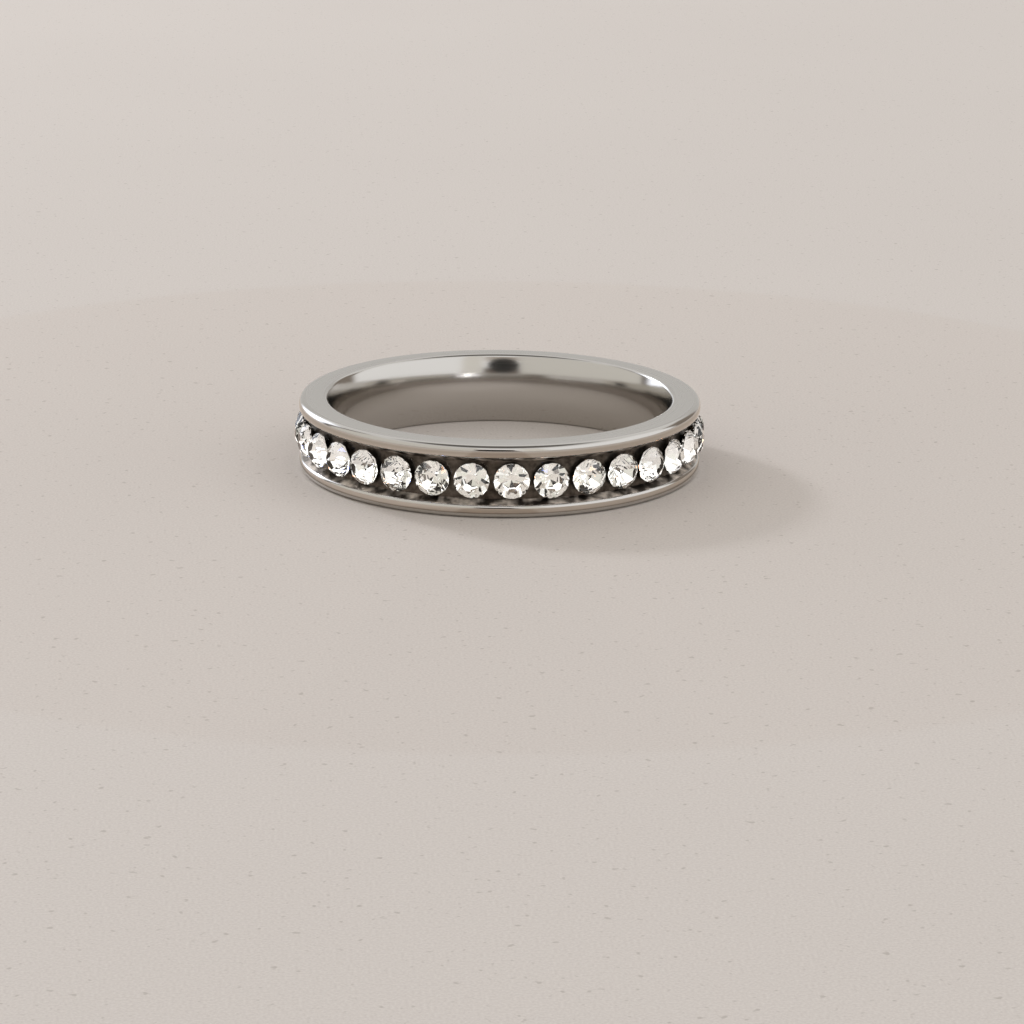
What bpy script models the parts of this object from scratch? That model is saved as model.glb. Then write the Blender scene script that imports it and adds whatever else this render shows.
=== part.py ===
"""An eternity ring: a polished steel band whose outer channel carries small round
brilliants all the way round, each standing in its own drilled seat.

The ring lies on its side. Its axis is Z and passes through the origin, and it stands
on z = 0. Sizes are in metres.
"""

import math

import bmesh
import bpy
from mathutils import Matrix, Vector

MM = 0.001
WELD = 0.001 * MM  # points closer than this are one point

# The stones.
STONE_DIAMETER = 1.80 * MM
STONE_SPACING = 0.22 * MM  # least gap between two girdles
GIRDLE_HEIGHT = 0.06 * MM
CROWN_HEIGHT = 0.38 * MM
PAVILION_ANGLE = math.radians(40.0)
TABLE_DIAMETER = 0.96 * MM
STAR_REACH = 0.45  # how far the star facets run from the table's edge to the girdle
MAIN_FACETS = 8
STONE_TURN = math.radians(137.5)  # each stone is turned this much further than the last

# The band, from the bore outwards.
BORE_DIAMETER = 17.42 * MM  # at the waist of the bore
BORE_FLARE = 0.27 * MM  # how far the bore opens on its way to its ends
BORE_END_ANGLE = math.radians(19.5)  # between the bore's wall and the axis, at its ends
SEAT_WALL = 0.74 * MM  # metal left between a seat's tip and the waist of the bore
SEAT_DEPTH = 0.50 * MM  # how deep a seat is drilled into the channel's floor
SEAT_GAP = 0.04 * MM  # between a stone's pavilion and its seat
DRILL_GAP = 0.05 * MM  # between a girdle and the drill's straight side
GIRDLE_INSET = 0.13 * MM  # from the rails' outer face in to the top of the girdle
STONE_SIDE_GAP = 0.275 * MM  # from a girdle to the channel's lip
CHANNEL_DRAFT = 0.09 * MM  # each channel wall leans out by this much
RAIL_WIDTH = 0.675 * MM
RAIL_BULGE = 0.02 * MM  # a rail's outer face stands out by this much in its middle

# The two end faces, on one of which the ring rests.
LAND_WIDTH = 0.35 * MM  # the flat that touches the table
END_DROP = 0.03 * MM  # the end face falls by this much from its land to the rim
INNER_EDGE_RADIUS = 0.20 * MM
OUTER_EDGE_RADIUS = 0.15 * MM
LIP_RADIUS = 0.10 * MM

# How finely the round shapes are drawn.
STEPS_PER_STONE = 3
BORE_STEPS = 3
EDGE_STEPS = 2
SEAT_SIDES = 16

# Places that follow from the sizes above. A stone's heights are from its girdle's top.
STONE_RADIUS = STONE_DIAMETER / 2
PAVILION_TIP = -GIRDLE_HEIGHT - STONE_RADIUS * math.tan(PAVILION_ANGLE)
SEAT_TIP = PAVILION_TIP - SEAT_GAP / math.cos(PAVILION_ANGLE)
BORE_RADIUS = BORE_DIAMETER / 2
FLOOR_RADIUS = BORE_RADIUS + SEAT_WALL + SEAT_DEPTH
GIRDLE_RADIUS = BORE_RADIUS + SEAT_WALL - SEAT_TIP
RIM_RADIUS = GIRDLE_RADIUS + GIRDLE_INSET
CHANNEL_HALF_WIDTH = STONE_RADIUS + STONE_SIDE_GAP
RIM_HALF_WIDTH = CHANNEL_HALF_WIDTH + RAIL_WIDTH
BAND_HALF_WIDTH = RIM_HALF_WIDTH + END_DROP
STONE_COUNT = int(2 * math.pi * GIRDLE_RADIUS / (STONE_DIAMETER + STONE_SPACING))


def clear_scene():
    for thing in list(bpy.data.objects):
        bpy.data.objects.remove(thing)


def new_collection(name):
    collection = bpy.data.collections.new(name)
    bpy.context.scene.collection.children.link(collection)
    return collection


def material(name, colour, metallic, roughness, transmission=0.0):
    made = bpy.data.materials.new(name)
    made.use_nodes = True
    shader = made.node_tree.nodes["Principled BSDF"]
    shader.inputs["Base Color"].default_value = (*colour, 1.0)
    shader.inputs["Metallic"].default_value = metallic
    shader.inputs["Roughness"].default_value = roughness
    shader.inputs["Transmission Weight"].default_value = transmission
    return made


def arc(centre, radius, start, end, steps):
    """Points on an arc in the plane of the profile, from one angle to another."""
    angles = [start + (end - start) * k / steps for k in range(steps + 1)]
    across, up = centre
    return [(across + radius * math.cos(a), up + radius * math.sin(a)) for a in angles]


def bore_curve(reach):
    """The upper half of the comfort-fit bore: upright at its waist, and leaning out
    by BORE_END_ANGLE at its end, which the caller's rounded edge takes up."""
    power = math.tan(BORE_END_ANGLE) * reach / BORE_FLARE
    points = []
    for k in range(BORE_STEPS):
        share = math.sin(0.5 * math.pi * k / BORE_STEPS)
        points.append((BORE_RADIUS + BORE_FLARE * share**power, reach * share))
    return points


def slope_to_arc(point, centre, radius):
    """How steeply a line from point falls if it touches the top of an arc."""
    across = centre[0] - point[0]
    down = point[1] - centre[1]
    return math.atan2(down, across) - math.asin(radius / math.hypot(across, down))


def half_profile():
    """(radius, height above the middle) from the bore's waist, over the end face and
    the rail, to the foot of the channel wall."""
    reach = BAND_HALF_WIDTH - INNER_EDGE_RADIUS * (1 - math.sin(BORE_END_ANGLE))
    crest = BORE_RADIUS + BORE_FLARE + INNER_EDGE_RADIUS * math.cos(BORE_END_ANGLE)
    inner = (crest, BAND_HALF_WIDTH - INNER_EDGE_RADIUS)
    upright = math.pi / 2
    points = bore_curve(reach)
    points += arc(inner, INNER_EDGE_RADIUS, math.pi - BORE_END_ANGLE, upright, EDGE_STEPS)
    land_end = (crest + LAND_WIDTH, BAND_HALF_WIDTH)
    points.append(land_end)
    edge = RIM_RADIUS - RAIL_BULGE
    outer = (edge - OUTER_EDGE_RADIUS, RIM_HALF_WIDTH - OUTER_EDGE_RADIUS)
    fall = slope_to_arc(land_end, outer, OUTER_EDGE_RADIUS)
    points += arc(outer, OUTER_EDGE_RADIUS, upright - fall, 0.0, EDGE_STEPS)
    points.append((RIM_RADIUS, CHANNEL_HALF_WIDTH + RAIL_WIDTH / 2))
    lip = (edge - LIP_RADIUS, CHANNEL_HALF_WIDTH + LIP_RADIUS)
    points += arc(lip, LIP_RADIUS, 0.0, -upright, EDGE_STEPS)
    points.append((FLOOR_RADIUS, CHANNEL_HALF_WIDTH - CHANNEL_DRAFT))
    return points


def band_profile():
    """The band's closed section, down its outer side from top to bottom."""
    upper = half_profile()
    lower = [(radius, -height) for radius, height in reversed(upper[1:])]
    return upper + lower


def turned(name, profile, steps, collection):
    """A ring turned about Z from a closed profile, standing on z = 0."""
    mesh = bpy.data.meshes.new(name)
    points = [(radius, 0.0, height + BAND_HALF_WIDTH) for radius, height in profile]
    edges = [(k, (k + 1) % len(points)) for k in range(len(points))]
    mesh.from_pydata(points, edges, [])
    made = bpy.data.objects.new(name, mesh)
    collection.objects.link(made)
    screw = made.modifiers.new("turned", "SCREW")
    screw.axis = "Z"
    screw.angle = 2 * math.pi
    screw.steps = steps
    screw.render_steps = steps
    screw.use_smooth_shade = True
    return made


def ring_of_points(radius, height, count, offset):
    """Points round a stone's axis. offset is in steps of the ring."""
    step = 2 * math.pi / count
    angles = [(k + offset) * step for k in range(count)]
    return [Vector((radius * math.cos(a), radius * math.sin(a), height)) for a in angles]


def brilliant_mesh():
    """A round brilliant: table, star facets, kites and halves above the girdle, and a
    pointed pavilion below. The table faces +Z and z = 0 is the top of the girdle."""
    table_radius = TABLE_DIAMETER / 2
    half_step = math.pi / MAIN_FACETS
    star_radius = table_radius + STAR_REACH * (STONE_RADIUS - table_radius)
    # The kites are flat, so their side corners lie on the line from table to girdle.
    along = STONE_RADIUS - star_radius * math.cos(half_step)
    star_height = CROWN_HEIGHT * along / (STONE_RADIUS - table_radius)
    girdle_sides = 2 * MAIN_FACETS
    points = ring_of_points(table_radius, CROWN_HEIGHT, MAIN_FACETS, 0)
    points += ring_of_points(star_radius, star_height, MAIN_FACETS, 0.5)
    points += ring_of_points(STONE_RADIUS, 0.0, girdle_sides, 0)
    points += ring_of_points(STONE_RADIUS, -GIRDLE_HEIGHT, girdle_sides, 0)
    points.append(Vector((0.0, 0.0, PAVILION_TIP)))
    shape = bmesh.new()
    for point in points:
        shape.verts.new(point)
    bmesh.ops.convex_hull(shape, input=shape.verts)
    bmesh.ops.recalc_face_normals(shape, faces=shape.faces)
    mesh = bpy.data.meshes.new("brilliant")
    shape.to_mesh(mesh)
    shape.free()
    return mesh


def outward_frame(index):
    """A stone's place on the girdle circle. Its Z axis points away from the ring's."""
    angle = 2 * math.pi * index / STONE_COUNT
    out = Matrix.Rotation(angle, 4, "Z")
    lift = Matrix.Translation((GIRDLE_RADIUS, 0.0, BAND_HALF_WIDTH))
    return out @ lift @ Matrix.Rotation(math.pi / 2, 4, "Y")


def add_stones(collection, finish):
    mesh = brilliant_mesh()
    mesh.materials.append(finish)
    for index in range(STONE_COUNT):
        stone = bpy.data.objects.new(f"stone_{index + 1:02d}", mesh)
        spin = Matrix.Rotation(index * STONE_TURN, 4, "Z")
        stone.matrix_world = outward_frame(index) @ spin
        collection.objects.link(stone)


def add_drill(shape, place):
    """One stone's drill: a cone below, and a straight side up past the rails."""
    radius = STONE_RADIUS + DRILL_GAP
    shoulder = SEAT_TIP + radius * math.tan(PAVILION_ANGLE)
    top = shoulder + STONE_DIAMETER
    outline = [(0.0, SEAT_TIP), (radius, shoulder), (radius, top), (0.0, top)]
    corners = [shape.verts.new(place @ Vector((x, 0.0, z))) for x, z in outline]
    edges = [shape.edges.new(pair) for pair in zip(corners, corners[1:])]
    bmesh.ops.spin(
        shape,
        geom=corners + edges,
        cent=place.translation,
        axis=place.to_3x3() @ Vector((0.0, 0.0, 1.0)),
        angle=2 * math.pi,
        steps=SEAT_SIDES,
        use_merge=True,
    )


def seat_cutter(collection):
    """One mesh that holds the drills of all the seats."""
    shape = bmesh.new()
    for index in range(STONE_COUNT):
        add_drill(shape, outward_frame(index))
    bmesh.ops.remove_doubles(shape, verts=shape.verts, dist=WELD)
    bmesh.ops.recalc_face_normals(shape, faces=shape.faces)
    mesh = bpy.data.meshes.new("seat_cutter")
    shape.to_mesh(mesh)
    shape.free()
    cutter = bpy.data.objects.new("seat_cutter", mesh)
    cutter.hide_render = True
    cutter.display_type = "WIRE"
    collection.objects.link(cutter)
    return cutter


def add_band(collection, cutter, finish):
    band = turned("band", band_profile(), STEPS_PER_STONE * STONE_COUNT, collection)
    band.data.materials.append(finish)
    drill = band.modifiers.new("seats", "BOOLEAN")
    drill.operation = "DIFFERENCE"
    drill.solver = "EXACT"
    drill.object = cutter


def main():
    clear_scene()
    ring = new_collection("eternity_ring")
    tools = new_collection("cutters")
    steel = material("polished_steel", (0.60, 0.59, 0.58), 1.0, 0.12)
    crystal = material("clear_crystal", (0.95, 0.95, 0.94), 0.0, 0.02, transmission=1.0)
    add_band(ring, seat_cutter(tools), steel)
    add_stones(ring, crystal)


main()
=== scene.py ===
# %% [markdown]
# # A channel-set eternity ring
#
# The ring is a band of stainless steel, turned on a lathe. A channel runs round its
# outside between two polished rails, and a small round crystal stands in a drilled seat
# at every 1/32 of the turn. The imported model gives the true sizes. This script gives the
# same ring its finish: a finely turned and drilled band, cut crystals with silvered
# backs, and a studio that the polished metal can mirror.

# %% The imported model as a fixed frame
import math

import bmesh
import bpy
from mathutils import Matrix, Vector


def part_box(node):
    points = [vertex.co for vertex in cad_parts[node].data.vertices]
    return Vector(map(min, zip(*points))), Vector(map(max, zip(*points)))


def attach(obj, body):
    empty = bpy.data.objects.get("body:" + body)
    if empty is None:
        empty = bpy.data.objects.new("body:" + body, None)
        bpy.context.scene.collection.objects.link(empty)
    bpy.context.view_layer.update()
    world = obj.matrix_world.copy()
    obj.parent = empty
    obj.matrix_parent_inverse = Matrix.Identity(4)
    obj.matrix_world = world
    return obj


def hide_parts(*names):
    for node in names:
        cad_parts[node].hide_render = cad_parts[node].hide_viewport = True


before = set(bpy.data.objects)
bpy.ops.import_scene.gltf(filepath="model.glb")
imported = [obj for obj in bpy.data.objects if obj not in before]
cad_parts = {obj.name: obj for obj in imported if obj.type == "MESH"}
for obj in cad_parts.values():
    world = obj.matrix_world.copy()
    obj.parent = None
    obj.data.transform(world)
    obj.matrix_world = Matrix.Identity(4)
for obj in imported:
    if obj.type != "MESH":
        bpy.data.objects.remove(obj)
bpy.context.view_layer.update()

MM = 0.001
FULL_TURN = 2 * math.pi

# %% [markdown]
# ## Sizes that the frame gives
#
# A model that is dressed should never be measured twice by hand. The band's box gives the
# outer radius and the width of the ring. The first stone lies on the +X axis, so its own
# box gives the height of the table, the tip of the stone and its diameter.

# %% Reading the frame
band_low, band_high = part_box("band")
stone_low, stone_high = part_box("stone_01")
stone_nodes = sorted(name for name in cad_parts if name.startswith("stone_"))

RIM_RADIUS = band_high[0]
BAND_WIDTH = band_high[2]
MIDDLE = BAND_WIDTH / 2
TABLE_RADIUS_FROM_AXIS = stone_high[0]
TIP_RADIUS_FROM_AXIS = stone_low[0]
STONE_DIAMETER = stone_high[1] - stone_low[1]
STONE_COUNT = len(stone_nodes)

print(f"rim {RIM_RADIUS / MM:.3f} mm, width {BAND_WIDTH / MM:.3f} mm")
print(f"{STONE_COUNT} stones of {STONE_DIAMETER / MM:.3f} mm")

# %% [markdown]
# ## The section of the band
#
# A lathe-turned ring is one closed outline swept round an axis, so its whole character is
# in that outline. Here the outline is walked from the waist of the bore, up its
# comfort-fit curve, over the end face and the outer edge, down one domed rail and into the
# channel. The other half is its mirror image. Each rounded edge is an arc, because on
# polished metal an edge is seen as the thin line of light or dark that it mirrors.

# %% Sizes of the section, as on the real band
BORE_DIAMETER = 17.42 * MM
BORE_FLARE = 0.27 * MM
BORE_END_ANGLE = math.radians(19.5)
LAND_WIDTH = 0.35 * MM
END_DROP = 0.03 * MM
INNER_EDGE_RADIUS = 0.20 * MM
OUTER_EDGE_RADIUS = 0.27 * MM
RAIL_TILT = math.radians(7.0)  # how far a rail's face leans at its two edges
LIP_RADIUS = 0.19 * MM
FLOOR_RADIUS = 9.95 * MM
CHANNEL_HALF_WIDTH = 1.175 * MM
WALL_LEAN = math.radians(30.0)
RIM_HALF_WIDTH = MIDDLE - END_DROP
END_FALL = math.radians(3.0)  # how far an end face leans where it meets the edge

# How finely each curve of the section is drawn.
BORE_STEPS = 24
END_STEPS = 10
EDGE_STEPS = 8
RAIL_STEPS = 12

# %% Walking the outline
UPRIGHT = math.pi / 2


def arc(centre, radius, start, end, steps):
    """Points on an arc, as (distance from the axis, height over the middle)."""
    angles = [start + (end - start) * k / steps for k in range(steps + 1)]
    return [
        (centre[0] + radius * math.cos(a), centre[1] + radius * math.sin(a))
        for a in angles
    ]


def straight(start, end, shares):
    """Points between two corners, close to them where the light must stay even."""
    return [
        (start[0] + (end[0] - start[0]) * s, start[1] + (end[1] - start[1]) * s)
        for s in shares
    ]


def bore_curve(reach, steps):
    """The comfort-fit curve, from its waist out to the angle that it ends with."""
    power = math.tan(BORE_END_ANGLE) * reach / BORE_FLARE
    shares = [math.sin(UPRIGHT * k / steps) for k in range(steps)]
    return [(BORE_DIAMETER / 2 + BORE_FLARE * s**power, reach * s) for s in shares]


def end_face(start, end, steps):
    """A face that leaves its land level and falls faster and faster to the rim."""
    shares = [k / steps for k in range(steps)]
    return [
        (start[0] + (end[0] - start[0]) * s, start[1] + (end[1] - start[1]) * s**1.5)
        for s in shares
    ]


def half_outline():
    """The upper half of the section, as (zone, point), from the waist to the channel."""
    crest = BORE_DIAMETER / 2 + BORE_FLARE + INNER_EDGE_RADIUS * math.cos(BORE_END_ANGLE)
    reach = MIDDLE - INNER_EDGE_RADIUS * (1 - math.sin(BORE_END_ANGLE))
    points = [("bore", p) for p in bore_curve(reach, BORE_STEPS)]
    inner = (crest, MIDDLE - INNER_EDGE_RADIUS)
    edge = arc(inner, INNER_EDGE_RADIUS, math.pi - BORE_END_ANGLE, UPRIGHT, EDGE_STEPS)
    points += [("bore", p) for p in edge[:-1]]
    land_end = (crest + LAND_WIDTH, MIDDLE)
    points += [("end", p) for p in straight((crest, MIDDLE), land_end, (0, 0.1, 0.5))]

    # The rail's face is one shallow arc between its two rounded edges.
    top = RIM_HALF_WIDTH - OUTER_EDGE_RADIUS * (1 - math.sin(RAIL_TILT))
    bottom = CHANNEL_HALF_WIDTH + LIP_RADIUS * (1 - math.sin(RAIL_TILT))
    face_radius = (top - bottom) / 2 / math.sin(RAIL_TILT)
    face_centre = (RIM_RADIUS - face_radius, (top + bottom) / 2)
    face_edge = face_centre[0] + face_radius * math.cos(RAIL_TILT)
    outer = (
        face_edge - OUTER_EDGE_RADIUS * math.cos(RAIL_TILT),
        top - OUTER_EDGE_RADIUS * math.sin(RAIL_TILT),
    )
    lip = (
        face_edge - LIP_RADIUS * math.cos(RAIL_TILT),
        bottom + LIP_RADIUS * math.sin(RAIL_TILT),
    )
    rim = arc(outer, OUTER_EDGE_RADIUS, UPRIGHT - END_FALL, RAIL_TILT, EDGE_STEPS)
    points += [("end", p) for p in end_face(land_end, rim[0], END_STEPS)]
    points += [("rail", p) for p in rim[:-1]]
    face = arc(face_centre, face_radius, RAIL_TILT, -RAIL_TILT, RAIL_STEPS)
    points += [("rail", p) for p in face[:-1]]
    lip_arc = arc(lip, LIP_RADIUS, -RAIL_TILT, WALL_LEAN - UPRIGHT, EDGE_STEPS)
    points += [("rail", p) for p in lip_arc]
    # The wall leaves the lip without a corner and leans inwards down to the floor.
    edge = lip_arc[-1]
    foot = (FLOOR_RADIUS, edge[1] - (edge[0] - FLOOR_RADIUS) * math.tan(WALL_LEAN))
    points += [("wall", p) for p in straight(edge, foot, (0.1, 0.5, 0.9))]
    floor = straight(foot, (FLOOR_RADIUS, 0.0), (0.0, 0.05, 0.3, 0.6))
    points += [("channel", p) for p in floor]
    return points


def whole_outline():
    """The upper half, the middle of the channel's floor, and the mirrored lower half."""
    upper = half_outline()
    middle = [("channel", (FLOOR_RADIUS, 0.0))]
    lower = [(zone, (r, -h)) for zone, (r, h) in reversed(upper[1:])]
    return upper + middle + lower


outline = whole_outline()
print(f"the outline has {len(outline)} points")

# %% [markdown]
# ## Helpers for node trees
#
# Geometry, materials and the studio are all node trees. They could be drawn by hand in the
# editor, but written out they can be read, and come out the same each time. One function
# adds a node, sets its own properties and fills its sockets, either with a value or with a
# link. A second one opens a geometry tree whose named inputs can be set on a modifier, and
# a third runs such a tree and keeps what it made.

# %% A node with its settings and links
def add(tree, kind, inputs=None, **settings):
    node = tree.nodes.new(kind)
    for name, value in settings.items():
        setattr(node, name, value)
    for key, value in (inputs or {}).items():
        if isinstance(value, bpy.types.NodeSocket):
            tree.links.new(value, node.inputs[key])
        else:
            node.inputs[key].default_value = value
    return node


# %% A geometry tree with named inputs
SOCKETS = {int: "NodeSocketInt", float: "NodeSocketFloat"}


def open_tree(name, sizes):
    """A new geometry tree, its group input, and the identifier of each named size."""
    tree = bpy.data.node_groups.new(name, "GeometryNodeTree")
    face = tree.interface
    face.new_socket(name="Geometry", in_out="INPUT", socket_type="NodeSocketGeometry")
    identifiers = {}
    for label, value in sizes.items():
        socket = face.new_socket(
            name=label, in_out="INPUT", socket_type=SOCKETS[type(value)]
        )
        socket.default_value = value
        identifiers[label] = socket.identifier
    face.new_socket(name="Geometry", in_out="OUTPUT", socket_type="NodeSocketGeometry")
    return tree, tree.nodes.new("NodeGroupInput").outputs, identifiers


def baked(name, mesh, tree, identifiers, sizes):
    """Runs a geometry tree on a mesh and keeps the result as a plain mesh object."""
    maker = bpy.data.objects.new(name, mesh)
    bpy.context.scene.collection.objects.link(maker)
    modifier = maker.modifiers.new(tree.name, "NODES")
    modifier.node_group = tree
    for label, value in sizes.items():
        modifier[identifiers[label]] = value
    depsgraph = bpy.context.evaluated_depsgraph_get()
    result = bpy.data.meshes.new_from_object(maker.evaluated_get(depsgraph))
    maker.modifiers.remove(modifier)
    maker.data = result
    result.name = name
    # Set Material adds its slots after the empty one that the mesh came with.
    while None in result.materials[:]:
        result.materials.pop(index=result.materials[:].index(None))
    print(f"{name}: {len(result.vertices)} points, {len(result.polygons)} faces")
    print(f"  finishes: {', '.join(finish.name for finish in result.materials)}")
    return maker


# %% [markdown]
# ## Colours
#
# Colours are picked as sRGB hex values, as in any paint program. Shaders reckon with light
# itself, so each value is turned to linear before it goes into a socket. A ramp blends
# between such colours, and a patchy noise is what most surfaces vary by, so both get a
# helper here.

# %% sRGB hex to linear, a new material, the stops of a ramp and a patchy noise
def linear(hex_colour):
    """A hex colour such as "#C6C2BD" as the linear red, green, blue and alpha of light."""
    levels = [int(hex_colour[k : k + 2], 16) / 255 for k in (1, 3, 5)]
    light = [v / 12.92 if v <= 0.04045 else ((v + 0.055) / 1.055) ** 2.4 for v in levels]
    return (*light, 1.0)


def new_material(name, **values):
    """A node material, its tree and its shader, with values on the shader's sockets."""
    made = bpy.data.materials.new(name)
    made.use_nodes = True
    tree = made.node_tree
    shader = tree.nodes["Principled BSDF"]
    for socket, value in values.items():
        shader.inputs[socket.replace("_", " ")].default_value = value
    return made, tree, shader


def with_stops(node, *stops):
    """Gives a colour ramp its stops of (position, colour). Returns its colour socket."""
    ends = node.color_ramp.elements
    ends[0].position, ends[0].color = stops[0]
    ends[1].position, ends[1].color = stops[-1]
    for position, colour in stops[1:-1]:
        ends.new(position).color = colour
    return node.outputs[0]


def patchy(tree, size, detail):
    """A noise in the object's own metres, with patches about as wide as size."""
    place = add(tree, "ShaderNodeTexCoord").outputs["Object"]
    pattern = {"Vector": place, "Scale": 1 / size, "Detail": detail}
    return add(tree, "ShaderNodeTexNoise", pattern).outputs[0]


# %% [markdown]
# ## Steel as the lathe left it
#
# Turned metal carries fine rings, left by the tool and the polishing wheel, that all run
# round the axis. A pattern that follows them needs coordinates that turn with the ring. The
# point's direction from the axis is nearly still along a ring and has no seam, and its
# distance and height change quickly across the rings, so a noise fed with all four is
# drawn out into fine circles. The true marks are about 0.02 mm apart, too fine to show, so
# they are drawn at 0.07 mm.

# %% Rings of tool marks
TOOL_MARK = 0.07 * MM
MARK_LENGTH = 4.0 * MM


def tool_marks(tree, spacing, length, detail):
    """A noise that is drawn out round the Z axis. Returns its factor."""
    place = add(tree, "ShaderNodeTexCoord").outputs["Object"]
    split = add(tree, "ShaderNodeSeparateXYZ", {0: place})
    flat = add(tree, "ShaderNodeCombineXYZ", {0: split.outputs[0], 1: split.outputs[1]})
    away = add(tree, "ShaderNodeVectorMath", {0: flat.outputs[0]}, operation="LENGTH")
    heading = add(tree, "ShaderNodeVectorMath", {0: flat.outputs[0]}, operation="NORMALIZE")
    along = add(
        tree,
        "ShaderNodeVectorMath",
        {0: heading.outputs[0], "Scale": RIM_RADIUS / length},
        operation="SCALE",
    )
    level = add(
        tree, "ShaderNodeMath", {0: split.outputs[2], 1: 1 / spacing}, operation="MULTIPLY"
    )
    across = add(
        tree, "ShaderNodeMath", {0: away.outputs["Value"], 1: 1 / spacing}, operation="MULTIPLY"
    )
    rise = add(tree, "ShaderNodeCombineXYZ", {2: level.outputs[0]})
    where = add(tree, "ShaderNodeVectorMath", {0: along.outputs[0], 1: rise.outputs[0]})
    noise = add(
        tree,
        "ShaderNodeTexNoise",
        {"Vector": where.outputs[0], "W": across.outputs[0], "Scale": 1.0, "Detail": detail},
        noise_dimensions="4D",
    )
    return noise.outputs[0]


def scuffed(tree, shader, marks, depth, polish):
    """Feeds marks to a shader as a shallow relief, and as a polish from smooth to rough."""
    relief = add(
        tree, "ShaderNodeBump", {"Height": marks, "Strength": 1.0, "Distance": depth}
    )
    tree.links.new(relief.outputs[0], shader.inputs["Normal"])
    smooth, rough = polish
    uneven = add(
        tree, "ShaderNodeMapRange", {"Value": marks, "To Min": smooth, "To Max": rough}
    )
    tree.links.new(uneven.outputs[0], shader.inputs["Roughness"])


print(f"marks {TOOL_MARK / MM} mm apart and about {MARK_LENGTH / MM} mm long")

# %% [markdown]
# ## Three bare finishes
#
# - The rails are stainless steel, polished on a wheel: a slightly warm grey mirror whose
#   reflections are drawn out a little by the polishing marks.
# - The bore was buffed with a small mop, which never gets it quite as bright. What it
#   mirrors has soft edges.
# - The end faces are the same steel left fine-turned: an even grey sheen with faint rings.
#
# Three colours of grey could stand for them, but it is one metal, and the real difference
# is in its polish. So one function makes all three, from how deep and how long the marks
# are and how smooth the tops and the bottoms of them.

# %% Polished, buffed and fine-turned steel
STEEL = linear("#C6C2BD")


def bare_steel(name, length, detail, depth, polish):
    made, tree, shader = new_material(name, Base_Color=STEEL, Metallic=1.0)
    marks = tool_marks(tree, TOOL_MARK, length, detail)
    scuffed(tree, shader, marks, depth, polish)
    print(f"{name}: roughness {polish[0]} to {polish[1]}")
    return made


POLISHING_MARKS = (MARK_LENGTH, 3.0, 0.0006 * MM)
TURNING_MARKS = (2 * MARK_LENGTH, 4.0, 0.0012 * MM)
POLISHED = bare_steel("wheel-polished stainless steel", *POLISHING_MARKS, (0.04, 0.13))
BUFFED = bare_steel("mop-buffed stainless steel", *POLISHING_MARKS, (0.09, 0.18))
TURNED = bare_steel("fine-turned stainless steel", *TURNING_MARKS, (0.22, 0.36))

# %% [markdown]
# ## The channel, darkened, and painted reflections on its walls
#
# - The channel was darkened before the stones went in, so that they stand out. It is the
#   same steel under a thin, patchy black oxide: nearly black, with a dull metal gleam.
# - The channel's walls are the same steel with pale beige patches, which are painted
#   reflections: they paint the broken light crescents that the walls mirror below the stones.
#
# Both could be painted by hand, but nothing about them is in a planned place. A noise with
# patches of the true size gives the colour, the polish and a slight relief at once, so the
# three always agree. The pale patches aren't metal, so where they are strong the metallic value
# drops too.

# %% Oxide-darkened steel
OXIDE_PATCH = 0.35 * MM
PATCH_DETAIL = 5.0


def darkened_steel():
    made, tree, shader = new_material("oxide-darkened stainless steel", Metallic=1.0)
    patches = patchy(tree, OXIDE_PATCH, PATCH_DETAIL)
    blend = add(tree, "ShaderNodeValToRGB", {"Fac": patches})
    colour = with_stops(blend, (0.35, linear("#3B3733")), (0.75, linear("#6E6862")))
    tree.links.new(colour, shader.inputs["Base Color"])
    scuffed(tree, shader, patches, 0.006 * MM, (0.20, 0.40))
    return made


DARKENED = darkened_steel()
print(f"{DARKENED.name}: patches of {OXIDE_PATCH / MM} mm")

# %% Steel with painted reflections on the channel's walls
PASTE_PATCH = 0.7 * MM
BARE_UP_TO = 0.42
PAINTED_FROM = 0.64
METAL_UNDER_PAINTED_PATCH = 0.15


def steel_with_painted_reflections():
    made, tree, shader = new_material("stainless steel with painted reflections")
    patches = patchy(tree, PASTE_PATCH, PATCH_DETAIL)
    blend = add(tree, "ShaderNodeValToRGB", {"Fac": patches})
    # The pale stop is a painted reflection: the light crescents that the walls mirror below the
    # stones.
    stops = (BARE_UP_TO, linear("#6A625B")), (PAINTED_FROM, linear("#DCCFC2"))
    tree.links.new(with_stops(blend, *stops), shader.inputs["Base Color"])
    between = {"Value": patches, "From Min": BARE_UP_TO, "From Max": PAINTED_FROM}
    metal = {"To Min": 1.0, "To Max": METAL_UNDER_PAINTED_PATCH}
    bare = add(tree, "ShaderNodeMapRange", between | metal)
    tree.links.new(bare.outputs[0], shader.inputs["Metallic"])
    scuffed(tree, shader, patches, 0.010 * MM, (0.20, 0.60))
    return made


HALF_CLEAN = steel_with_painted_reflections()
print(f"{HALF_CLEAN.name}: patches of {PASTE_PATCH / MM} mm")

# %% [markdown]
# ## The band
#
# The real band is turned, and then drilled once for each stone. It could be lathed with a
# Screw modifier and cut with thirty-two Boolean modifiers, but each of those would have to
# be placed by hand. One geometry tree does it all from named sizes, and its parts follow
# the order of the work in the shop: lathe, drill, cut, smooth and finish.

# %% Sizes of the seats and of the whole tree
PAVILION_ANGLE = math.radians(40.0)
GIRDLE_HEIGHT = 0.06 * MM
CROWN_HEIGHT = 0.38 * MM
GIRDLE_RADIUS = TABLE_RADIUS_FROM_AXIS - CROWN_HEIGHT
SEAT_GAP = 0.09 * MM
SEAT_TIP = TIP_RADIUS_FROM_AXIS - SEAT_GAP / math.cos(PAVILION_ANGLE)
PAST_THE_STONE = 1.02  # the drill is this much wider than the stone
SEAT_REACH = PAST_THE_STONE * (STONE_DIAMETER / 2) * math.tan(PAVILION_ANGLE)

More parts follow.
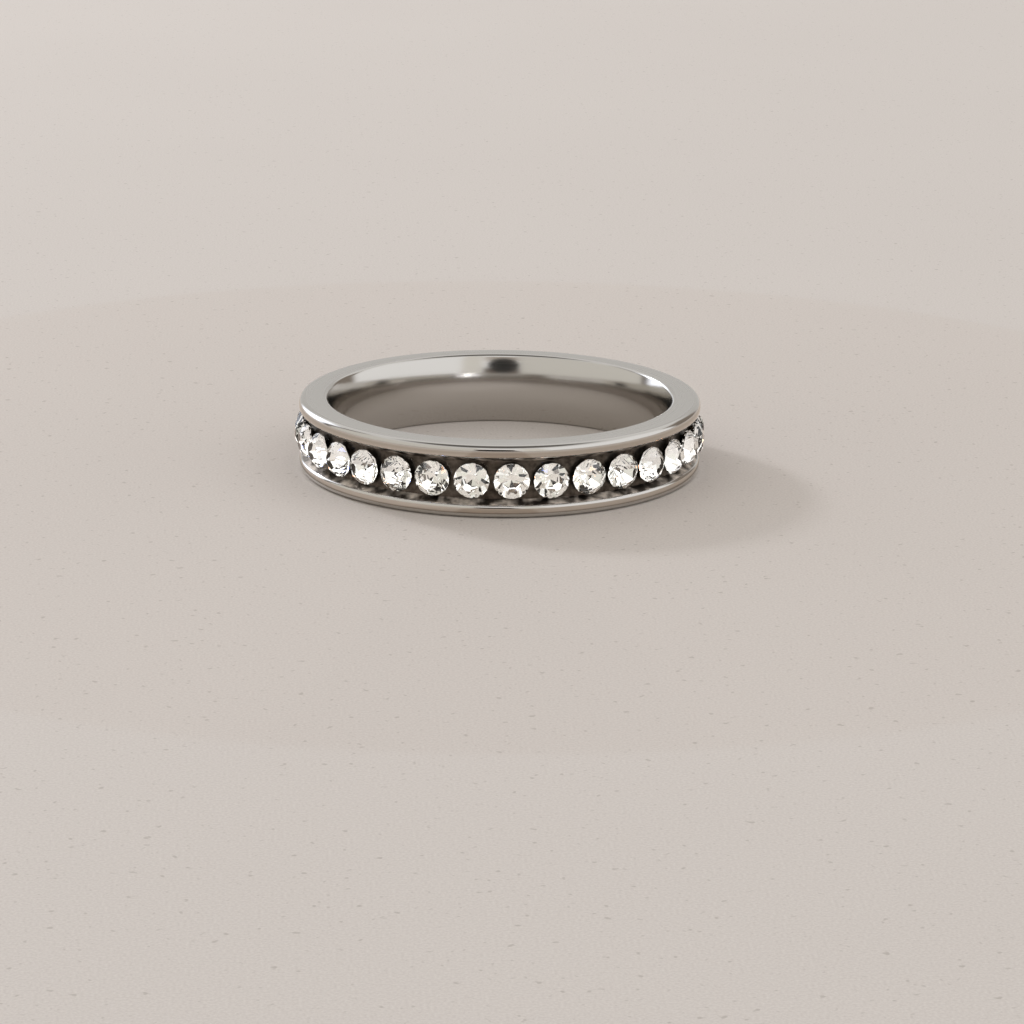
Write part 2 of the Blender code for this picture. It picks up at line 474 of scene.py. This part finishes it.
band_sizes = {
    "Path radius": RIM_RADIUS,
    "Path steps": 384,
    "Middle": MIDDLE,
    "Stones": STONE_COUNT,
    "Seat tip": SEAT_TIP,
    "Seat reach": SEAT_REACH,
    "Seat radius": SEAT_REACH / math.tan(PAVILION_ANGLE),
    "Seat sides": 40,
    "Crease angle": math.radians(28.0),
}
print(f"{STONE_COUNT} seats, {2 * band_sizes['Seat radius'] / MM:.2f} mm wide")


# %% [markdown]
# The zone of each outline point travels with it as an attribute, first round the lathe and
# then onto the faces. Materials could also be given face by face in Python, but the drill
# changes the faces, and an attribute comes through the cut.

# %% Zones, and how things are turned and raised
ZONES = {"bore": 0, "end": 1, "rail": 2, "wall": 3, "channel": 4}


def outward(tree):
    """A rotation that turns local +Z away from the ring's axis, at each point."""
    place = add(tree, "GeometryNodeInputPosition").outputs[0]
    return add(
        tree, "FunctionNodeAlignRotationToVector", {"Vector": place}, axis="Z"
    ).outputs[0]


def raised(tree, geometry, height):
    """Lifts the geometry, which is drawn round the origin, to the middle of the band."""
    rise = add(tree, "ShaderNodeCombineXYZ", {2: height}).outputs[0]
    lifted = {"Geometry": geometry, "Translation": rise}
    return add(tree, "GeometryNodeTransform", lifted).outputs[0]


# %% The lathe
def lathe(tree, size):
    """Sweeps the outline that comes in round a circle."""
    path = add(
        tree,
        "GeometryNodeCurvePrimitiveCircle",
        {"Radius": size["Path radius"], "Resolution": size["Path steps"]},
    )
    profile = add(tree, "GeometryNodeMeshToCurve", {0: size["Geometry"]})
    turned = add(
        tree,
        "GeometryNodeCurveToMesh",
        {"Curve": path.outputs[0], "Profile Curve": profile.outputs[0]},
    ).outputs[0]
    zone = add(
        tree, "GeometryNodeInputNamedAttribute", {"Name": "zone"}, data_type="FLOAT"
    ).outputs["Attribute"]
    zoned = add(
        tree,
        "GeometryNodeStoreNamedAttribute",
        {"Geometry": turned, "Name": "finish", "Value": zone},
        data_type="FLOAT",
        domain="FACE",
    ).outputs[0]
    return raised(tree, zoned, size["Middle"])


# %% [markdown]
# A drill's point is a cone, so a seat is a cone too. One cone stands on each point of the
# circle that the seats' tips lie on, turned outwards, and one Boolean takes all of them
# away. Its Manifold solver is the quick one, and suits two closed bodies such as these.

# %% The drills
def drills(tree, size):
    """One cone on each point of the circle that the seats' tips lie on."""
    tips = add(
        tree,
        "GeometryNodeMeshCircle",
        {"Vertices": size["Stones"], "Radius": size["Seat tip"]},
    )
    drill = add(
        tree,
        "GeometryNodeMeshCone",
        {
            "Vertices": size["Seat sides"],
            "Radius Top": size["Seat radius"],
            "Radius Bottom": 0.0,
            "Depth": size["Seat reach"],
        },
    )
    placed = add(
        tree,
        "GeometryNodeInstanceOnPoints",
        {"Points": tips.outputs[0], "Instance": drill.outputs[0], "Rotation": outward(tree)},
    )
    lifted = raised(tree, placed.outputs[0], size["Middle"])
    solid = add(tree, "GeometryNodeRealizeInstances", {0: lifted}).outputs[0]
    return add(
        tree,
        "GeometryNodeStoreNamedAttribute",
        {"Geometry": solid, "Name": "finish", "Value": float(ZONES["channel"])},
        data_type="FLOAT",
        domain="FACE",
    ).outputs[0]


# %% [markdown]
# Turned curves are shaded smooth, and every crisp corner keeps its crease. The seats' rims
# are sharp on the real band as well: the stones went in straight after the drill.

# %% Smooth faces with crisp corners
def creased(tree, geometry, angle):
    """Shades all faces smooth, and leaves each edge that bends more than angle crisp."""
    smooth = add(tree, "GeometryNodeSetShadeSmooth", {0: geometry})
    bend = add(tree, "GeometryNodeInputMeshEdgeAngle").outputs["Unsigned Angle"]
    crisp = add(
        tree,
        "FunctionNodeCompare",
        {"A": bend, "B": angle},
        data_type="FLOAT",
        operation="GREATER_THAN",
    )
    return add(
        tree,
        "GeometryNodeSetShadeSmooth",
        {0: smooth.outputs[0], "Selection": crisp.outputs[0], "Shade Smooth": False},
        domain="EDGE",
    ).outputs[0]


# %% [markdown]
# A face that lies between two zones holds the mean of their numbers. The bore and the wall
# reach half a step to either side and so take those faces in. The end faces and the
# channel take only what is wholly theirs, and what is left over is polished rail.

# %% A finish for each zone
HALF_A_ZONE = 0.51
ONLY_ITS_OWN = 0.01
FINISHES = (
    ("bore", BUFFED, HALF_A_ZONE),
    ("end", TURNED, ONLY_ITS_OWN),
    ("wall", HALF_CLEAN, HALF_A_ZONE),
    ("channel", DARKENED, ONLY_ITS_OWN),
)


def finished(tree, geometry):
    """Polished steel all over, and then the finish of each other zone."""
    here = add(
        tree, "GeometryNodeInputNamedAttribute", {"Name": "finish"}, data_type="FLOAT"
    ).outputs["Attribute"]
    last = add(tree, "GeometryNodeSetMaterial", {0: geometry, "Material": POLISHED})
    for name, finish, reach in FINISHES:
        chosen = add(
            tree,
            "FunctionNodeCompare",
            {"A": here, "B": float(ZONES[name]), "Epsilon": reach},
            data_type="FLOAT",
            operation="EQUAL",
        )
        last = add(
            tree,
            "GeometryNodeSetMaterial",
            {0: last.outputs[0], "Selection": chosen.outputs[0], "Material": finish},
        )
    return last.outputs[0]


# %% The turned and drilled band
def band_tree():
    tree, size, identifiers = open_tree("turned and drilled band", band_sizes)
    cut = add(
        tree,
        "GeometryNodeMeshBoolean",
        {"Mesh 1": lathe(tree, size), "Mesh 2": drills(tree, size)},
        operation="DIFFERENCE",
        solver="MANIFOLD",
    )
    crisp = creased(tree, cut.outputs[0], size["Crease angle"])
    add(tree, "NodeGroupOutput", {0: finished(tree, crisp)})
    return tree, identifiers


def outline_mesh():
    """The outline as a closed chain of edges, which the lathe node reads as x and -y."""
    mesh = bpy.data.meshes.new("outline")
    points = [(radius - RIM_RADIUS, -height, 0.0) for _, (radius, height) in outline]
    edges = [(k, (k + 1) % len(points)) for k in range(len(points))]
    mesh.from_pydata(points, edges, [])
    zone = mesh.attributes.new("zone", "FLOAT", "POINT")
    zone.data.foreach_set("value", [float(ZONES[name]) for name, _ in outline])
    return mesh


tree, identifiers = band_tree()
band = baked("turned_band", outline_mesh(), tree, identifiers, band_sizes)
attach(band, "root")
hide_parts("band")

# %% [markdown]
# ## One crystal
#
# Each stone is a small round brilliant, machine-cut: an octagonal table, eight star
# facets, eight kites and sixteen halves above the girdle, and a pointed pavilion below.
# The cut has flat faces and is convex, so its corner points are enough: the convex hull
# of the corners is the stone, and cutting a solid with one plane for each facet isn't
# needed. The pavilion is mirror-coated on the real stone, which is
# why it looks bright with so little depth, so those faces are marked for a second material.

# %% The cut of a crystal
TABLE_DIAMETER = 0.96 * MM
STAR_REACH = 0.45
MAIN_FACETS = 8
SAME_PLANE = math.radians(0.5)  # faces that bend less than this become one facet
JUST_BELOW = 0.01 * MM
STONE_RADIUS = STONE_DIAMETER / 2
PAVILION_DEPTH = GIRDLE_RADIUS - GIRDLE_HEIGHT - TIP_RADIUS_FROM_AXIS


def ring_of_points(radius, height, count, offset):
    turns = [(k + offset) * FULL_TURN / count for k in range(count)]
    return [Vector((radius * math.cos(a), radius * math.sin(a), height)) for a in turns]


def crystal_mesh():
    table = TABLE_DIAMETER / 2
    half_step = math.pi / MAIN_FACETS
    star = table + STAR_REACH * (STONE_RADIUS - table)
    along = STONE_RADIUS - star * math.cos(half_step)
    star_height = CROWN_HEIGHT * along / (STONE_RADIUS - table)
    corners = ring_of_points(table, CROWN_HEIGHT, MAIN_FACETS, 0)
    corners += ring_of_points(star, star_height, MAIN_FACETS, 0.5)
    corners += ring_of_points(STONE_RADIUS, 0.0, 2 * MAIN_FACETS, 0)
    # Eight broad pavilion facets meet the girdle in shallow scallops.
    scallop = PAVILION_DEPTH * (1 - math.cos(half_step))
    corners += ring_of_points(STONE_RADIUS, -GIRDLE_HEIGHT, MAIN_FACETS, 0)
    corners += ring_of_points(STONE_RADIUS, -GIRDLE_HEIGHT - scallop, MAIN_FACETS, 0.5)
    corners.append(Vector((0.0, 0.0, -GIRDLE_HEIGHT - PAVILION_DEPTH)))
    cut = bmesh.new()
    for corner in corners:
        cut.verts.new(corner)
    bmesh.ops.convex_hull(cut, input=cut.verts)
    bmesh.ops.dissolve_limit(
        cut, angle_limit=SAME_PLANE, verts=cut.verts, edges=cut.edges
    )
    bmesh.ops.recalc_face_normals(cut, faces=cut.faces)
    silvered = cut.faces.layers.float.new("silvered")
    for face in cut.faces:
        below = face.calc_center_median().z < -GIRDLE_HEIGHT - JUST_BELOW
        face[silvered] = 1.0 if below else 0.0
        face.smooth = False
    mesh = bpy.data.meshes.new("crystal")
    cut.to_mesh(mesh)
    cut.free()
    print(f"one crystal has {len(mesh.polygons)} facets")
    return mesh


# %% [markdown]
# ## Crystal and its silvered back
#
# The crown is clear lead crystal, polished: light goes in, bounces twice off the silvered
# pavilion and comes out through another facet. Its refractive index of 1.58 is what makes
# neighbouring facets differ so strongly. The back is a thin mirror coating, a metal.

# %% Clear crystal and mirror coating
CRYSTAL, _, shader = new_material(
    "clear lead crystal, polished", Base_Color=linear("#FFFEFC"), Roughness=0.0, IOR=1.58
)
shader.inputs["Transmission Weight"].default_value = 1.0
MIRROR, _, _ = new_material(
    "vacuum mirror coating", Base_Color=linear("#F4F3F0"), Metallic=1.0, Roughness=0.03
)
print(f"{CRYSTAL.name}, and behind it a {MIRROR.name}")

# %% [markdown]
# ## Thirty-two crystals round the band
#
# The stones were set by hand, so no two catch the light alike. Each has its own turn about
# its own axis, a tilt of a degree or two, and sits a few hundredths of a millimetre deeper
# or further round. Thirty-two copies could be nudged one by one. Seeded random nodes give
# the same small errors for any number of stones, and Instance on Points repeats the one
# crystal.

# %% Setting the crystals
TILT = math.radians(2.2)
WANDER = 0.02 * MM
crystal_sizes = {
    "Stones": STONE_COUNT,
    "Girdle radius": GIRDLE_RADIUS,
    "Middle": MIDDLE,
    "Least tilt": -TILT,
    "Most tilt": TILT,
    "Deepest": -0.045 * MM,
    "Shallowest": -0.02 * MM,
    "Least wander": -WANDER,
    "Most wander": WANDER,
    "Seed": 5,
}


def chance(tree, seed, offset, low, high):
    """A random number for each stone. Each offset gives a draw of its own."""
    drawn = add(tree, "FunctionNodeIntegerMath", {0: seed, 1: offset})
    limits = {2: low, 3: high, "Seed": drawn.outputs[0]}
    return add(tree, "FunctionNodeRandomValue", limits, data_type="FLOAT").outputs[1]


def lean(tree, size):
    """Where a stone faces: outwards, but a little tilted, and turned at random."""
    seed, tilt = size["Seed"], (size["Least tilt"], size["Most tilt"])
    angles = {0: chance(tree, seed, 1, *tilt), 1: chance(tree, seed, 2, *tilt)}
    angles[2] = chance(tree, seed, 3, 0.0, FULL_TURN)
    euler = add(tree, "ShaderNodeCombineXYZ", angles)
    tilted = add(tree, "FunctionNodeEulerToRotation", {0: euler.outputs[0]})
    return add(
        tree,
        "FunctionNodeRotateRotation",
        {"Rotation": outward(tree), "Rotate By": tilted.outputs[0]},
        rotation_space="LOCAL",
    ).outputs[0]


def drift(tree, size):
    """How far a stone lies from its place: a little deeper, and a little to one side."""
    seed, wander = size["Seed"], (size["Least wander"], size["Most wander"])
    shift = {0: chance(tree, seed, 5, *wander), 1: chance(tree, seed, 6, *wander)}
    shift[2] = chance(tree, seed, 4, size["Deepest"], size["Shallowest"])
    return add(tree, "ShaderNodeCombineXYZ", shift).outputs[0]


# %% Thirty-two crystals in their seats
def crystal_tree():
    tree, size, identifiers = open_tree("crystals round the band", crystal_sizes)
    girdle = add(
        tree,
        "GeometryNodeMeshCircle",
        {"Vertices": size["Stones"], "Radius": size["Girdle radius"]},
    )
    placed = add(
        tree,
        "GeometryNodeInstanceOnPoints",
        {
            "Points": girdle.outputs[0],
            "Instance": size["Geometry"],
            "Rotation": lean(tree, size),
        },
    )
    moved = add(
        tree,
        "GeometryNodeTranslateInstances",
        {"Instances": placed.outputs[0], "Translation": drift(tree, size)},
    )
    lifted = raised(tree, moved.outputs[0], size["Middle"])
    real = add(tree, "GeometryNodeRealizeInstances", {0: lifted})
    clear = add(tree, "GeometryNodeSetMaterial", {0: real.outputs[0], "Material": CRYSTAL})
    silvered = add(
        tree, "GeometryNodeInputNamedAttribute", {"Name": "silvered"}, data_type="FLOAT"
    ).outputs["Attribute"]
    coated = add(
        tree,
        "GeometryNodeSetMaterial",
        {0: clear.outputs[0], "Selection": silvered, "Material": MIRROR},
    )
    add(tree, "NodeGroupOutput", {0: coated.outputs[0]})
    return tree, identifiers


tree, identifiers = crystal_tree()
crystals = baked("set_crystals", crystal_mesh(), tree, identifiers, crystal_sizes)
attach(crystals, "root")
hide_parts(*stone_nodes)

# %% [markdown]
# ## The floor
#
# A slab of pale, honed composite stone. It is only a stage, but polished metal is mostly a
# picture of what surrounds it, so the floor's colour decides the lower half of every
# reflection. Its grain is a tenth of a millimetre across, with a few darker specks, and
# honing leaves it a soft sheen.

# %% A pale honed floor
FLOOR_REACH = 3.0
STONE_GRAIN = 0.12 * MM
SPECK_SPACING = 0.4 * MM
CLOUD_SIZE = 40.0 * MM
GRAIN_OVER_CLOUD = 0.88
SPECK_STARTS, SPECK_FULL, SPECK_DEPTH = 0.68, 0.76, 0.5


def honed_stone():
    made, tree, shader = new_material("pale honed composite stone", Roughness=0.6)
    shader.inputs["Specular IOR Level"].default_value = 0.2
    cloud = patchy(tree, CLOUD_SIZE, 3.0)
    grain = patchy(tree, STONE_GRAIN, 2.0)
    mixed = add(
        tree,
        "ShaderNodeMix",
        {"Factor": GRAIN_OVER_CLOUD, "A": cloud, "B": grain},
        data_type="FLOAT",
    ).outputs[0]
    blend = add(tree, "ShaderNodeValToRGB", {"Fac": mixed})
    colour = with_stops(blend, (0.2, linear("#CBC1BA")), (0.8, linear("#DFD7D0")))
    specks = patchy(tree, SPECK_SPACING, 1.0)
    between = {"Value": specks, "From Min": SPECK_STARTS, "From Max": SPECK_FULL}
    thin = add(tree, "ShaderNodeMapRange", between | {"To Max": SPECK_DEPTH})
    speckled = add(
        tree,
        "ShaderNodeMix",
        {"Factor": thin.outputs[0], "A": colour, "B": linear("#A79C93")},
        data_type="RGBA",
    )
    tree.links.new(speckled.outputs["Result"], shader.inputs["Base Color"])
    return made


def floor_slab():
    mesh = bpy.data.meshes.new("floor")
    half = FLOOR_REACH / 2
    corners = [(-half, -half, 0), (half, -half, 0), (half, half, 0), (-half, half, 0)]
    mesh.from_pydata(corners, [], [(0, 1, 2, 3)])
    floor = bpy.data.objects.new("floor", mesh)
    bpy.context.scene.collection.objects.link(floor)
    mesh.materials.append(honed_stone())
    return floor


floor_slab()
print(f"a floor {FLOOR_REACH} m wide, with a grain of {STONE_GRAIN / MM} mm")

# %% [markdown]
# ## The camera
#
# The circles of the ring were measured in the picture and a camera was fitted to them. It
# stands 191 mm away and looks down by 14 degrees at the upper rim, which lies a little
# above the middle of the frame. One stone stands 3.5 degrees to the right of straight
# ahead, so the camera goes that far round to the left.

# %% A camera at the measured angle
FRAME_PIXELS = 1024
SENSOR_WIDTH = 36.0
LENS = 129.0
ELEVATION = math.radians(14.08)
ROUND_TO_THE_LEFT = math.radians(3.48)
ROLL = math.radians(0.46)
RIM_CENTRE_X_PX = 499.9
RIM_CENTRE_Y_PX = 395.2
DISTANCE = 191.3 * MM
RIM_CENTRE = Vector((0.0, 0.0, MIDDLE + RIM_HALF_WIDTH))


def photo_camera():
    data = bpy.data.cameras.new("camera")
    data.lens = LENS
    data.sensor_width = SENSOR_WIDTH
    data.clip_start = 0.01
    data.clip_end = 10.0
    back = Vector(
        (
            -math.sin(ROUND_TO_THE_LEFT) * math.cos(ELEVATION),
            -math.cos(ROUND_TO_THE_LEFT) * math.cos(ELEVATION),
            math.sin(ELEVATION),
        )
    )
    focal_px = FRAME_PIXELS * LENS / SENSOR_WIDTH
    half = FRAME_PIXELS / 2
    aim = Vector(
        ((RIM_CENTRE_X_PX - half) / focal_px, (half - RIM_CENTRE_Y_PX) / focal_px, -1.0)
    )
    look = (-back).to_track_quat("-Z", "Y").to_matrix()
    turn = look @ Matrix.Rotation(ROLL, 3, "Z")
    turn = turn @ aim.rotation_difference(Vector((0.0, 0.0, -1.0))).to_matrix()
    camera = bpy.data.objects.new("camera", data)
    camera.matrix_world = Matrix.Translation(RIM_CENTRE + DISTANCE * back) @ turn.to_4x4()
    bpy.context.scene.collection.objects.link(camera)
    bpy.context.scene.camera = camera
    return camera, back


camera, towards_camera = photo_camera()
print(f"the camera stands {DISTANCE / MM:.1f} mm from the middle of the rim")

# %% [markdown]
# ## The studio
#
# Nothing lights a polished ring so much as what it can mirror. A bright paper sweep
# stands in front and to both sides, which fills the bore and the upper edge of each rail.
# Overhead it is dim, and that draws the thin dark lines along the ring's edges. A low
# window behind, to the left, throws the soft shadow forward and to the right. The
# surroundings are painted by direction in the world's nodes: each card is a patch of
# azimuth and elevation with soft sides.

# %% Cards painted by direction
world = bpy.data.worlds.new("studio")
bpy.context.scene.world = world
world.use_nodes = True
sky = world.node_tree
direction = add(sky, "ShaderNodeTexCoord").outputs["Generated"]
parts = add(sky, "ShaderNodeSeparateXYZ", {0: direction}).outputs


def azimuth_of(tree, x, y):
    """The angle round the axis, 0 towards the viewer and growing to the right."""
    ahead = add(tree, "ShaderNodeMath", {0: y, 1: -1.0}, operation="MULTIPLY").outputs[0]
    return add(tree, "ShaderNodeMath", {0: x, 1: ahead}, operation="ARCTAN2").outputs[0]


AZIMUTH = azimuth_of(sky, parts[0], parts[1])
HEIGHT = add(sky, "ShaderNodeMath", {0: parts[2]}, operation="ARCSINE").outputs[0]


def within(tree, angle, centre, half, soft):
    """1 inside a range of angles and 0 outside it, in degrees, with soft ends."""
    apart = add(
        tree, "ShaderNodeMath", {0: angle, 1: math.radians(centre)}, operation="SUBTRACT"
    )
    apart = add(tree, "ShaderNodeMath", {0: apart.outputs[0]}, operation="ABSOLUTE")
    return add(
        tree,
        "ShaderNodeMapRange",
        {
            "Value": apart.outputs[0],
            "From Min": math.radians(half - soft),
            "From Max": math.radians(half + soft),
            "To Min": 1.0,
            "To Max": 0.0,
        },
        interpolation_type="SMOOTHSTEP",
    ).outputs[0]


def card(under, colour, strength, azimuth, height):
    """Lays a card over the surroundings. azimuth and height are centre, half, soft."""
    mask = add(
        sky,
        "ShaderNodeMath",
        {0: within(sky, AZIMUTH, *azimuth), 1: within(sky, HEIGHT, *height)},
        operation="MULTIPLY",
    )
    light = [strength * v for v in linear(colour)[:3]]
    return add(
        sky,
        "ShaderNodeMix",
        {"Factor": mask.outputs[0], "A": under, "B": (*light, 1.0)},
        data_type="RGBA",
    ).outputs["Result"]


# %% The cards
DOME_LOW = (0.36, (0.64, 0.63, 0.61, 1.0))
DOME_BRIGHT = (0.50, (0.92, 0.92, 0.99 * 0.92, 1.0))
DOME_DULLER = (0.84, (0.90, 0.90, 0.99 * 0.90, 1.0))
DOME_TOP = (0.94, (0.17, 0.16, 0.15, 1.0))
dome = add(sky, "ShaderNodeValToRGB", {"Fac": parts[2]})
light = with_stops(dome, DOME_LOW, DOME_BRIGHT, DOME_DULLER, DOME_TOP)

SWEEP = (18.0, 31.0, 3.0)
CARDS = (
    # The paper sweep to the right, and the warm wall behind it.
    ("#FDFEFF", 1.18, (46.0, 67.0, 6.0), SWEEP),
    ("#D9CBBE", 0.42, (129.0, 15.0, 4.0), (14.0, 16.0, 4.0)),
    # The sweep to the left, the dark gap behind it, and the glow of the window.
    ("#FFFDF6", 0.84, (-66.0, 49.0, 2.0), SWEEP),
    ("#FFF4EA", 0.25, (-121.0, 6.0, 3.0), SWEEP),
    ("#EEF4FF", 2.30, (-139.0, 16.0, 5.0), (14.0, 20.0, 6.0)),
    # The stand of the camera and the cloth over it, which the bore mirrors as a dim column.
    ("#FFFDF6", 0.95, (16.0, 7.0, 3.0), SWEEP),
    ("#E2D8CE", 0.82, (-5.0, 12.0, 3.0), (25.0, 5.0, 1.5)),
    ("#D9C2B0", 0.22, (-4.5, 12.5, 2.0), (2.0, 8.0, 2.0)),
)
for settings in CARDS:
    light = card(light, *settings)
print(f"{len(CARDS)} cards stand round the ring")
tone = sky.nodes["Background"]
sky.links.new(light, tone.inputs["Color"])

# %% [markdown]
# The window is a real area light, because Cycles finds a lamp more surely than a bright
# patch of sky. It is seen in reflections but not by the camera.

# %% The window
def soft_lamp(name, azimuth, height, distance, width, tall, power, colour):
    """A rectangular lamp in a given direction from the rim's middle, turned to face it."""
    a, e = math.radians(azimuth), math.radians(height)
    way = Vector((math.sin(a) * math.cos(e), -math.cos(a) * math.cos(e), math.sin(e)))
    lamp = bpy.data.lights.new(name, "AREA")
    lamp.shape = "RECTANGLE"
    lamp.size = width
    lamp.size_y = tall
    lamp.energy = power
    lamp.color = linear(colour)[:3]
    made = bpy.data.objects.new(name, lamp)
    made.location = RIM_CENTRE + distance * way
    made.rotation_mode = "QUATERNION"
    made.rotation_quaternion = (-way).to_track_quat("-Z", "Y")
    made.visible_camera = False
    bpy.context.scene.collection.objects.link(made)
    return made


soft_lamp("window", -139.0, 24.0, 0.6, 0.07, 0.06, 1.1, "#F4F8FF")
# This one brightens the floor evenly. The steel and the crystals don't mirror it.
floor_fill = soft_lamp("floor_fill", 0.0, 90.0, 0.9, 0.8, 0.8, 0.28, "#FFFEFC")
floor_fill.visible_glossy = False
floor_fill.visible_transmission = False

# %% [markdown]
# Cut crystal asks for another light than polished metal. A bright box overhead would wipe
# the thin dark lines off the band's edges, yet without one the crystals look grey. Light
# linking solves that: a box overhead, a glowing sheet under the ring and two small lamps
# for coloured glints shine on the crystals alone.

# %% Lights for the crystals alone
crystals_only = bpy.data.collections.new("crystals_only")
crystals_only.objects.link(crystals)


def crystal_light(*settings):
    soft_lamp(*settings).light_linking.receiver_collection = crystals_only


SHEET_DEPTH = RIM_CENTRE.z - 0.02 * MM  # just above the floor
crystal_light("overhead_box", 0.0, 88.0, 0.5, 1.3, 1.3, 6.4, "#FCFCFF")
crystal_light("glowing_sheet", 0.0, -90.0, SHEET_DEPTH, 0.4, 0.4, 0.18, "#FCFCFF")
crystal_light("warm_glint", 40.0, 38.0, 0.5, 0.07, 0.07, 0.12, "#FFB060")
crystal_light("blue_glint", -48.0, 44.0, 0.5, 0.07, 0.07, 0.12, "#7090FF")

# %% [markdown]
# The taking camera shows in the bore as a small dark oval. A round black card stands for
# it, a little to the left and just behind the lens, and only reflections see it.

# %% The dark card behind the lens
HOOD_RADIUS = 38.0 * MM
HOOD_ASIDE = math.radians(-2.5)
HOOD_BEHIND = 6 * MM


def only_mirrored(name, mesh, material):
    """An object that reflections show, but neither the camera nor a shadow."""
    mesh.materials.append(material)
    made = bpy.data.objects.new(name, mesh)
    made.visible_camera = False
    made.visible_shadow = False
    made.visible_diffuse = False
    bpy.context.scene.collection.objects.link(made)
    return made


def dark_card():
    colour = linear("#20201F")
    black, _, _ = new_material("matt black card", Base_Color=colour, Roughness=0.8)
    mesh = bpy.data.meshes.new("dark_card")
    disc = bmesh.new()
    bmesh.ops.create_circle(disc, cap_ends=True, segments=48, radius=HOOD_RADIUS)
    aside = Matrix.Rotation(HOOD_ASIDE, 3, "Z") @ towards_camera
    place = Matrix.Translation(RIM_CENTRE + (DISTANCE + HOOD_BEHIND) * aside)
    turn = aside.to_track_quat("Z", "Y").to_matrix().to_4x4()
    bmesh.ops.transform(disc, matrix=place @ turn, verts=disc.verts)
    disc.to_mesh(mesh)
    disc.free()
    return only_mirrored("dark_card", mesh, black)


dark_card()

# %% [markdown]
# The lower half of a rail mirrors the ground right beside the ring, and that ground is
# darker and warmer than the open floor. A flat ring with this shade painted on it lies round
# the band for this, and it too is seen in reflections alone.

# %% A flat ring of painted ground shade for the rails to mirror
PAINTED_GROUND_INNER_RADIUS = RIM_RADIUS + 0.3 * MM
PAINTED_GROUND_OUTER_RADIUS = 45.0 * MM
PAINTED_GROUND_HEIGHT = 0.03 * MM
TONES_FROM, TONES_TO = 10.8 * MM, 38.0 * MM
STAND_WEDGE = (-4.0, 12.0, 1.5)  # its centre, half and soft edge, in degrees


def painted_ground_ring():
    ground_shade, tree, shader = new_material("painted ground shade", Roughness=0.9)
    place = add(tree, "ShaderNodeTexCoord").outputs["Object"]
    away = add(tree, "ShaderNodeVectorMath", {0: place}, operation="LENGTH").outputs["Value"]
    between = {"Value": away, "From Min": TONES_FROM, "From Max": TONES_TO}
    outwards = add(tree, "ShaderNodeMapRange", between).outputs[0]
    # Painted shade: the darkest stop at the inner edge is a painted contact shadow, and the
    # darker band further out paints the shade on the ground near the ring.
    tones = ((0.0, "#9C8F83"), (0.015, "#EFDED0"), (0.34, "#CCBDAF"), (1.0, "#E8DCD2"))
    blend = add(tree, "ShaderNodeValToRGB", {"Fac": outwards})
    colour = with_stops(blend, *((position, linear(tone)) for position, tone in tones))
    # The stand's shade is painted on the ring in front as a darker wedge.
    flat = add(tree, "ShaderNodeSeparateXYZ", {0: place}).outputs
    wedge = within(tree, azimuth_of(tree, flat[0], flat[1]), *STAND_WEDGE)
    shaded = add(
        tree,
        "ShaderNodeMix",
        {"Factor": wedge, "A": colour, "B": linear("#E4DFDA")},
        data_type="RGBA",
        blend_type="MULTIPLY",
    )
    tree.links.new(shaded.outputs["Result"], shader.inputs["Base Color"])
    mesh = bpy.data.meshes.new("painted_ground_ring")
    sheet = bmesh.new()
    rims = []
    for radius in (PAINTED_GROUND_INNER_RADIUS, PAINTED_GROUND_OUTER_RADIUS):
        rim = bmesh.ops.create_circle(sheet, segments=96, radius=radius)
        rims += {edge for corner in rim["verts"] for edge in corner.link_edges}
    bmesh.ops.bridge_loops(sheet, edges=rims)
    bmesh.ops.translate(sheet, vec=(0.0, 0.0, PAINTED_GROUND_HEIGHT), verts=sheet.verts)
    sheet.to_mesh(mesh)
    sheet.free()
    made = only_mirrored("painted_ground_ring", mesh, ground_shade)
    made.visible_transmission = False
    return made


painted_ground_ring()

# %% How the picture is developed
bpy.context.scene.view_settings.view_transform = "Standard"
bpy.context.scene.view_settings.look = "None"
